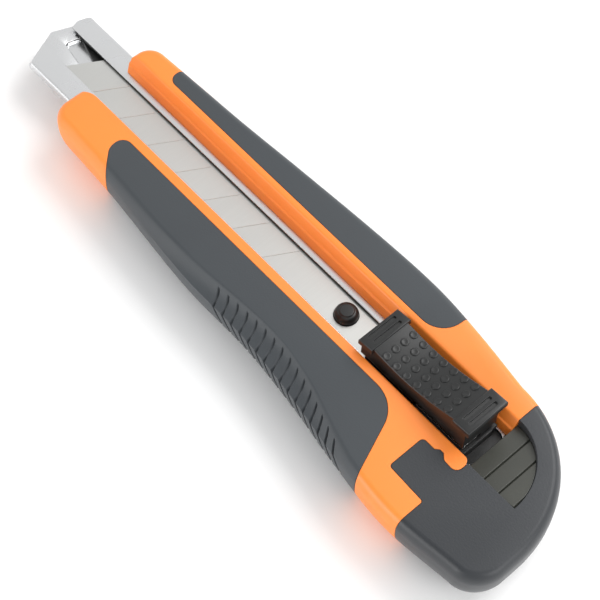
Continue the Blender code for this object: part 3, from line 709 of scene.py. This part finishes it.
# Ground steel: satin, with fine lines across the strip from the grinding wheel.
blade_steel, tree, shader = begin("blade_steel_ground", "#D2D2CF", 0.38, 1.0)
place = add(tree, "ShaderNodeTexCoord")
across = add(tree, "ShaderNodeMapping", sockets={
    "Vector": place.outputs["Object"], "Scale": (5000.0, 90.0, 400.0)})
lines = noise(tree, across.outputs[0], 1.0, 3.0)
film = noise(tree, place.outputs["Object"], 55.0, 3.0)
roughened(tree, shader, film, 0.32, 0.44)
tinted(tree, shader, lines, "#CFCFCC", "#D6D6D3")
line_bump = add(tree, "ShaderNodeBump", sockets={
    "Strength": 0.15, "Distance": 0.00002, "Height": lines.outputs[0]})
tree.links.new(line_bump.outputs[0], shader.inputs["Normal"])


def blade_ring(z, edge_y, edge_z):
    """Outline of the strip at one face; its left edge is pulled to the ground edge."""
    lean = BLADE_LEAN / (2 * BLADE_HALF)
    band = BLADE_HALF - EDGE_BAND
    chamfer = 2.5
    plan = [(BLADE_TIP_X, edge_y, edge_z), (BLADE_REAR_X + chamfer, edge_y, edge_z),
            (BLADE_REAR_X, band, z), (BLADE_REAR_X, -BLADE_HALF + chamfer, z),
            (BLADE_REAR_X + chamfer, -BLADE_HALF, z),
            (BLADE_TIP_X - BLADE_LEAN, -BLADE_HALF, z),
            (BLADE_TIP_X - EDGE_BAND * lean, band, z)]
    return plan


def thick_strip():
    """The strip as two faces joined round their edges, with the ground band split off."""
    bm = bmesh.new()
    middle = BLADE_TOP - BLADE_THICK / 2
    low = [bm.verts.new(p) for p in blade_ring(BLADE_TOP - BLADE_THICK, BLADE_HALF,
                                               middle - EDGE_THICK / 2)]
    high = [bm.verts.new(p) for p in blade_ring(BLADE_TOP, BLADE_HALF,
                                                middle + EDGE_THICK / 2)]
    for ring in (low, high):
        bm.faces.new((ring[0], ring[1], ring[2], ring[6]))
        bm.faces.new(ring[2:])
    for i in range(7):
        j = (i + 1) % 7
        bm.faces.new((low[i], low[j], high[j], high[i]))
    bmesh.ops.recalc_face_normals(bm, faces=bm.faces)
    bmesh.ops.scale(bm, vec=(MM, MM, MM), verts=bm.verts)
    mesh = bpy.data.meshes.new("strip")
    bm.to_mesh(mesh)
    bm.free()
    obj = bpy.data.objects.new("strip", mesh)
    bpy.context.scene.collection.objects.link(obj)
    return obj


def circle(radius, z, x=0.0, y=0.0, steps=64):
    turns = [2 * math.pi * k / steps for k in range(steps)]
    return [(x + radius * math.cos(a), y + radius * math.sin(a), z) for a in turns]


reach = BLADE_HALF + 0.5
score = solid([[(x + side * BLADE_LEAN / 2 * reach / BLADE_HALF, side * reach, BLADE_TOP + z)
                for x, z in ((-SCORE_HALF, 0.05), (0.0, -SCORE_DEEP), (SCORE_HALF, 0.05))]
               for side in (-1, 1)], "score")
score_tree, given, result, real = row_tree("score_lines")
end_tree(score_tree, given, result, real)

blade = thick_strip()
scores = run_tree(score_tree, "scores", {
    "Piece": score, "Look": blade_steel, "Count": SCORE_COUNT, "Pitch": SCORE_PITCH * MM,
    "Front": (BLADE_TIP_X - BLADE_LEAN / 2 - SCORE_PITCH) * MM})
bpy.data.objects.remove(score)
cut(blade, scores)
cut(blade, solid([circle(HOLE_RADIUS, z, PIN_X, PIN_Y) for z in (BLADE_TOP - 2, BLADE_TOP + 2)]))
dress(blade, "blade", blade_steel, "carriage", "blade_steel",
      *["blade_segment_%d" % n for n in range(1, 9)], crease=12)

# ----------------------------------------------------------------- carrier
# The black ABS slide that runs inside the rail. Its domed pin holds the blade,
# its neck comes up between the lips, and its deck carries the thumb piece.
SLIDER_FRONT_X, SLIDER_LENGTH = -26.2, 31.6
SLIDER_REAR_X = SLIDER_FRONT_X - SLIDER_LENGTH
DECK_BOTTOM, DECK_TOP, DECK_HALF = 9.8, 11.3, 5.3
low = FLOOR_TOP + 0.3
rear = SLIDER_REAR_X - 0.3
neck_front = BLADE_REAR_X - 0.9
slide = block(-60.7, BLADE_REAR_X - 0.3, -8.7, 8.7, low, 8.7)
shape(slide, block(BLADE_REAR_X - 2, PIN_X + 5.0, -5.7, 5.7, low, 7.9), "UNION")
shape(slide, block(rear, neck_front, -3.9, 4.7, 8.2, DECK_TOP - 0.2), "UNION")
shape(slide, block(rear + 0.2, neck_front - 0.2, -DECK_HALF, DECK_HALF, DECK_BOTTOM, DECK_TOP),
      "UNION")
pin_profile = [(2.75, 7.6), (2.75, 9.3), (2.72, 9.5), (2.62, 9.8), (2.45, 10.1), (2.2, 10.35),
               (1.95, 10.5), (1.75, 10.56), (1.64, 10.7), (1.54, 10.8), (1.3, 10.82)]
shape(slide, solid([circle(r, z, PIN_X, PIN_Y) for r, z in pin_profile]), "UNION")
cut(slide, block(-35.5, -28.9, -2.3, 2.3, 9.3, TOP),
    block(-42.5, -37.9, 2.3, SLOT_HALF, 10.1, TOP))
dress(slide, "blade_carrier", black_abs, "carriage", "black_abs", "carrier")

# ------------------------------------------------------------- thumb piece
# A black ABS button that is pushed along with the thumb. It rises toward the
# rear, with a raised bar at each end, a dished saddle between them, and a field
# of low round dots. Pressing it down frees the lock.
SLIDER_BAR, SADDLE_DIP = 3.9, 1.9
THUMB_BOTTOM, THUMB_HIGHEST = 12.6, 22.8
FRONT_RISE, RISE_TO_REAR = 3.4, 4.4
BODY_HALF, BODY_SOFT = 5.05, 0.35
BAR_HALF, BAR_DEEP = 5.75, 2.0
BAR_FRONT_OVER, BAR_REAR_OVER = 0.2, 1.0
GROOVE_HALF, GROOVE_REACH, GROOVE_DEEP, GROOVE_APART = 0.43, 4.0, 0.5, 0.82
DOT_ROWS, DOT_COLUMNS, DOT_LENGTH, DOT_WIDTH = 7, 4, 18.2, 7.9


def bar_top(x):
    """Height of the two end bars, which lie on one straight rise."""
    climb = RISE_TO_REAR * (SLIDER_FRONT_X - x) / SLIDER_LENGTH
    return min(THUMB_HIGHEST, TOP + FRONT_RISE + climb)


def thumb_top(x):
    """Height of the body's top along its length: a saddle between the two bars."""
    s = (SLIDER_FRONT_X - SLIDER_BAR - x) / (SLIDER_LENGTH - 2 * SLIDER_BAR)
    return bar_top(x) - 0.5 - SADDLE_DIP * math.sin(math.pi * min(1.0, max(0.0, s)))


def thumb_section(x, top):
    """One cross-section of the thumb piece's body with rounded upper edges."""
    points = [(x, -BODY_HALF, THUMB_BOTTOM), (x, BODY_HALF, THUMB_BOTTOM)]
    for side in (1, -1):
        turns = range(0, 91, 15) if side > 0 else range(90, -1, -15)
        for turn in turns:
            a = math.radians(turn)
            points.append((x, side * (BODY_HALF - BODY_SOFT + BODY_SOFT * math.cos(a)),
                           top - BODY_SOFT + BODY_SOFT * math.sin(a)))
    return points


sections = []
for k in range(61):
    x = SLIDER_FRONT_X - 0.25 - (SLIDER_LENGTH - 0.5) * k / 60
    inside_bar = k < 7 or k > 53
    sections.append(thumb_section(x, thumb_top(x) - 0.7 * inside_bar))
button = solid(sections, "button")
saddle = twin(button)
for front, back in ((SLIDER_FRONT_X + BAR_FRONT_OVER, SLIDER_FRONT_X - SLIDER_BAR),
                    (SLIDER_REAR_X + SLIDER_BAR, SLIDER_REAR_X - BAR_REAR_OVER)):
    bar = []
    for inset, drop in ((0.35, 0.0), (0.16, 0.05), (0.05, 0.16), (0.0, 0.35),
                        (0.0, BAR_DEEP - 0.3), (0.3, BAR_DEEP)):
        x0, x1, half = back + inset, front - inset, BAR_HALF - inset
        bar.append([(x0, -half, bar_top(x0) - drop), (x1, -half, bar_top(x1) - drop),
                    (x1, half, bar_top(x1) - drop), (x0, half, bar_top(x0) - drop)])
    shape(button, solid(bar[::-1]), "UNION")
    for offset in (-GROOVE_APART, GROOVE_APART):
        x = (front + back) / 2 + offset
        groove = rounded([(x + a * GROOVE_HALF, b * GROOVE_REACH, GROOVE_HALF - 0.01)
                          for a, b in ((-1, -1), (1, -1), (1, 1), (-1, 1))], 6)
        cut(button, upright(groove, bar_top(x) - GROOVE_DEEP, bar_top(x) + 2))
cut(button, block(-59.2, -42.6, -0.4, SLOT_HALF, THUMB_BOTTOM - 1, THUMB_BOTTOM + 1.0))
shape(button, block(-35.2, -29.2, -2.0, 2.0, 10.6, THUMB_BOTTOM + 0.5), "UNION")

DOT_PROFILE = [(0.98, -0.25), (0.97, 0.04), (0.94, 0.13), (0.88, 0.21), (0.78, 0.25),
               (0.62, 0.24), (0.4, 0.2), (0.12, 0.18)]
dot = solid([circle(r, z, steps=28) for r, z in DOT_PROFILE], "dot")

dot_tree, given, result = instance_tree("thumb_dots")
add_inputs(dot_tree, {"Rows": "Int", "Columns": "Int", "Length": "Float",
                      "Width": "Float", "Middle": "Float"})
field = add(dot_tree, "GeometryNodeMeshGrid", sockets={
    "Size X": given.outputs["Length"], "Size Y": given.outputs["Width"],
    "Vertices X": given.outputs["Rows"], "Vertices Y": given.outputs["Columns"]})
lift = add(dot_tree, "ShaderNodeCombineXYZ", sockets={"X": given.outputs["Middle"], "Z": 0.05})
above = add(dot_tree, "GeometryNodeSetPosition", sockets={
    "Geometry": field.outputs[0], "Offset": lift.outputs[0]})
top_face = add(dot_tree, "GeometryNodeObjectInfo", sockets={"Object": given.outputs["Surface"]})
cast = add(dot_tree, "GeometryNodeRaycast", sockets={
    "Target Geometry": top_face.outputs["Geometry"], "Ray Direction": (0.0, 0.0, -1.0),
    "Ray Length": 0.1})
landed = add(dot_tree, "GeometryNodeSetPosition", sockets={
    "Geometry": above.outputs[0], "Position": cast.outputs["Hit Position"]})
lean = add(dot_tree, "FunctionNodeAlignRotationToVector", {"axis": "Z"}, {
    "Vector": cast.outputs["Hit Normal"]})
keep_lean = add(dot_tree, "GeometryNodeCaptureAttribute")
keep_lean.capture_items.new("ROTATION", "Lean")
dot_tree.links.new(above.outputs[0], keep_lean.inputs["Geometry"])
dot_tree.links.new(lean.outputs[0], keep_lean.inputs["Lean"])
dot_tree.links.new(keep_lean.outputs["Geometry"], landed.inputs["Geometry"])
stud = add(dot_tree, "GeometryNodeObjectInfo", sockets={"Object": given.outputs["Piece"]})
placed = add(dot_tree, "GeometryNodeInstanceOnPoints", sockets={
    "Points": landed.outputs[0], "Instance": stud.outputs["Geometry"],
    "Rotation": keep_lean.outputs["Lean"]})
real = add(dot_tree, "GeometryNodeRealizeInstances", sockets={0: placed.outputs[0]})
end_tree(dot_tree, given, result, real)
dots = run_tree(dot_tree, "dots", {
    "Piece": dot, "Surface": saddle, "Look": black_abs, "Rows": DOT_ROWS,
    "Columns": DOT_COLUMNS, "Length": DOT_LENGTH * MM, "Width": DOT_WIDTH * MM,
    "Middle": (SLIDER_FRONT_X - SLIDER_LENGTH / 2) * MM})
bpy.data.objects.remove(dot)
bpy.data.objects.remove(saddle)
dress(dots, "thumb_dots", black_abs, "thumb", "black_abs")
dress(button, "thumb_button", black_abs, "thumb", "black_abs", "thumb_piece")

# -------------------------------------------------------------------- lock
# A toothed steel strip in the slot's left wall, a small black pawl that faces it
# from the carrier, and a leaf of spring steel that lifts the thumb piece again.

# Spring steel: thin rolled strip, brighter and smoother than the rail.
spring_steel, tree, shader = begin("spring_steel_bright", "#E6E6E4", 0.14, 1.0)
place = add(tree, "ShaderNodeTexCoord")
drawn = add(tree, "ShaderNodeMapping", sockets={
    "Vector": place.outputs["Object"], "Scale": (90.0, 3000.0, 3000.0)})
lines = noise(tree, drawn.outputs[0], 1.0, 2.0)
roughened(tree, shader, lines, 0.1, 0.24)
relief(tree, shader, lines, 0.1, 0.00002, 0.0001, samples=4)

for node, look in (("lock_rack", spring_steel), ("leaf_spring", spring_steel),
                   ("lock_pawl", black_abs), ("cap_core", black_abs)):
    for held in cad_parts[node].material_slots:
        held.material = look

# ----------------------------------------------------------------- end cap
# The cap closes the rear of the handle: the same grey TPR over a hard core, with
# a tongue on the left that hooks beside the slot. It pulls off to change blades.
RAMP_LENGTH, RAMP_WIDTH, RAMP_LEFT, RAMP_DROP = 13.4, 15.0, 7.1, 2.4
RAMP_STEPS = 3


def ramp_outline(inset=0.0):
    """A quarter ellipse behind the slot, anticlockwise."""
    points = [(JOINT_X - 0.05, RAMP_LEFT - inset)]
    for k in range(37):
        a = math.radians(90 - 90 * k / 36)
        points.append((JOINT_X - (RAMP_LENGTH - inset) * math.sin(a),
                       RAMP_LEFT - (RAMP_WIDTH - inset) * math.cos(a)))
    return points


cap = shape(whole_body(), upright(cap_outline(), -5.0, TOP + 5.0), "INTERSECT")
low = TOP - RAMP_DROP - 4.5
cut(cap, upright(grow(ramp_outline(), SEAM), low - 0.1, TOP + 5))
cut(cap, block(JOINT_X - 12.3, JOINT_X + FAR, -0.3, 17.3, 1.8, 5.8))

# The cap's skin is a harder grade of the same TPR: darker and a little glossier.
cap_tpr = grey_tpr.copy()
cap_tpr.name = "cap_tpr_firm"
tree = cap_tpr.node_tree
for piece in tree.nodes:
    if piece.type == "MIX" and not piece.inputs["A"].is_linked:
        piece.inputs["A"].default_value = linear("#26292D")
        piece.inputs["B"].default_value = linear("#2B2E32")
    if piece.type == "MAP_RANGE" and not piece.inputs["From Max"].default_value < 0.001:
        piece.inputs["To Min"].default_value = 0.38
        piece.inputs["To Max"].default_value = 0.46
dress(cap, "end_cap", cap_tpr, "cap", "grey_tpr", "cap_shell")

# The ramp is a hard black insert in the cap, where the thumb comes to rest. Its
# three steps climb to the cap's top face, each with a crisp undercut edge.
# Black ABS with a warm olive cast from its masterbatch, satin from a vapour blast.
olive_abs, tree, shader = begin("olive_black_abs", "#2A2B25", 0.34, ior=1.54)
place = add(tree, "ShaderNodeTexCoord")
grain = noise(tree, place.outputs["Object"], 1800.0, 3.0)
rub = noise(tree, place.outputs["Object"], 200.0, 4.0)
tinted(tree, shader, rub, "#3C3D38", "#464741")
relief(tree, shader, grain, 0.2, 0.00006, 0.0002)

ramp = upright(ramp_outline(0.0), low, TOP + 2)
section = [(JOINT_X + 1, TOP + 5), (JOINT_X + 1, TOP - RAMP_DROP)]
for k in range(RAMP_STEPS):
    x0 = JOINT_X - RAMP_LENGTH * k / RAMP_STEPS
    x1 = JOINT_X - RAMP_LENGTH * (k + 1) / RAMP_STEPS
    z0 = TOP - RAMP_DROP * (1 - k / RAMP_STEPS)
    z1 = TOP - RAMP_DROP * (1 - (k + 1) / RAMP_STEPS)
    section += [(x0 - 0.05, z0), (x1 + 0.45, z1 - 0.1), (x1 + 0.05, z1 - 0.7)]
section += [(JOINT_X - RAMP_LENGTH - 1, TOP), (JOINT_X - RAMP_LENGTH - 1, TOP + 5)]
cut(ramp, along_y(section, -FAR, FAR))
dress(ramp, "thumb_ramp", olive_abs, "cap", "ramp_black", "cap_ramp")
